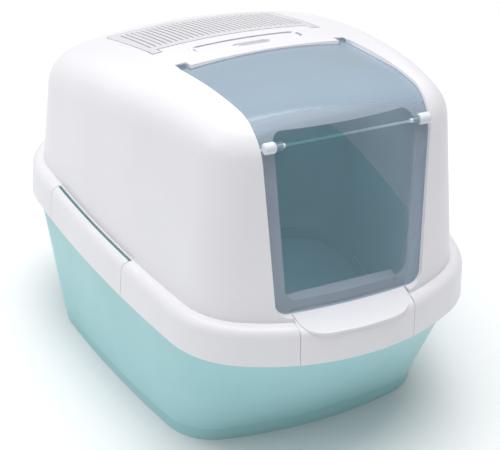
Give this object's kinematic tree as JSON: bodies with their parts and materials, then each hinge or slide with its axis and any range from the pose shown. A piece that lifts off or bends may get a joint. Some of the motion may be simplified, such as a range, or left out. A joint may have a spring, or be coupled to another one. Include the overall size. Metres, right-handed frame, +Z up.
{
  "type": "cat litter box with hood",
  "caption": "Hooded cat litter box: deep flared tray, rounded lift-off hood, tinted tip-up visor with swing door, slatted filter cover, folding handle and side latches.",
  "frame": {"origin": "middle of the tray's underside, on the plane it stands on", "axes": "+X to the right of someone who looks at the back from the entry side, +Y from the entry to the back, +Z up; the entry faces -Y"},
  "size_m": [0.4934, 0.62, 0.4704],
  "materials": {
    "aqua_plastic": "moulded, satin",
    "white_plastic": "moulded, satin",
    "tinted_pane": "clear tinted, polished",
    "pale_plastic": "moulded, satin",
    "grey_plastic": "moulded, slightly translucent",
    "carbon_pad": "felted fleece pad"
  },
  "bodies": {
    "tray_body": {"tray": "aqua_plastic", "entry_sill": "white_plastic"},
    "hood_body": {"hood": "white_plastic", "filter_basket": "white_plastic", "carbon_filter": "carbon_pad"},
    "visor_body": {"visor": "tinted_pane", "door_stud_left": "pale_plastic", "door_stud_right": "pale_plastic"},
    "door_body": {"swing_door": "tinted_pane"},
    "cover_body": {"filter_cover": "grey_plastic"},
    "handle_body": {"carry_handle": "white_plastic"},
    "latch_left_body": {"side_latch_left": "white_plastic"},
    "latch_right_body": {"side_latch_right": "white_plastic"}
  },
  "joints": [
    {"name": "hood_lift", "type": "slide", "parent": "tray_body", "child": "hood_body", "axis": [0, 0, 1], "range_m": [0, 0.25]},
    {"name": "visor_hinge", "type": "hinge", "parent": "hood_body", "child": "visor_body", "pos_m": [0, -0.018, 0.4405], "axis": [-1, 0, 0], "range_deg": [0, 80]},
    {"name": "door_swing", "type": "hinge", "parent": "visor_body", "child": "door_body", "pos_m": [0, -0.2436, 0.4411], "axis": [-1, 0, 0], "range_deg": [0, 65]},
    {"name": "filter_cover_hinge", "type": "hinge", "parent": "hood_body", "child": "cover_body", "pos_m": [0, 0.062, 0.4244], "axis": [1, 0, 0], "range_deg": [0, 75]},
    {"name": "handle_fold", "type": "hinge", "parent": "hood_body", "child": "handle_body", "pos_m": [0, 0.037, 0.436], "axis": [-1, 0, 0], "range_deg": [0, 90]},
    {"name": "latch_left_rock", "type": "hinge", "parent": "hood_body", "child": "latch_left_body", "pos_m": [-0.22577, 0.016, 0.212], "axis": [-0.119, 0.9929, 0], "range_deg": [0, 12]},
    {"name": "latch_right_rock", "type": "hinge", "parent": "hood_body", "child": "latch_right_body", "pos_m": [0.22577, 0.016, 0.212], "axis": [-0.119, -0.9929, 0], "range_deg": [0, 12]}
  ]
}
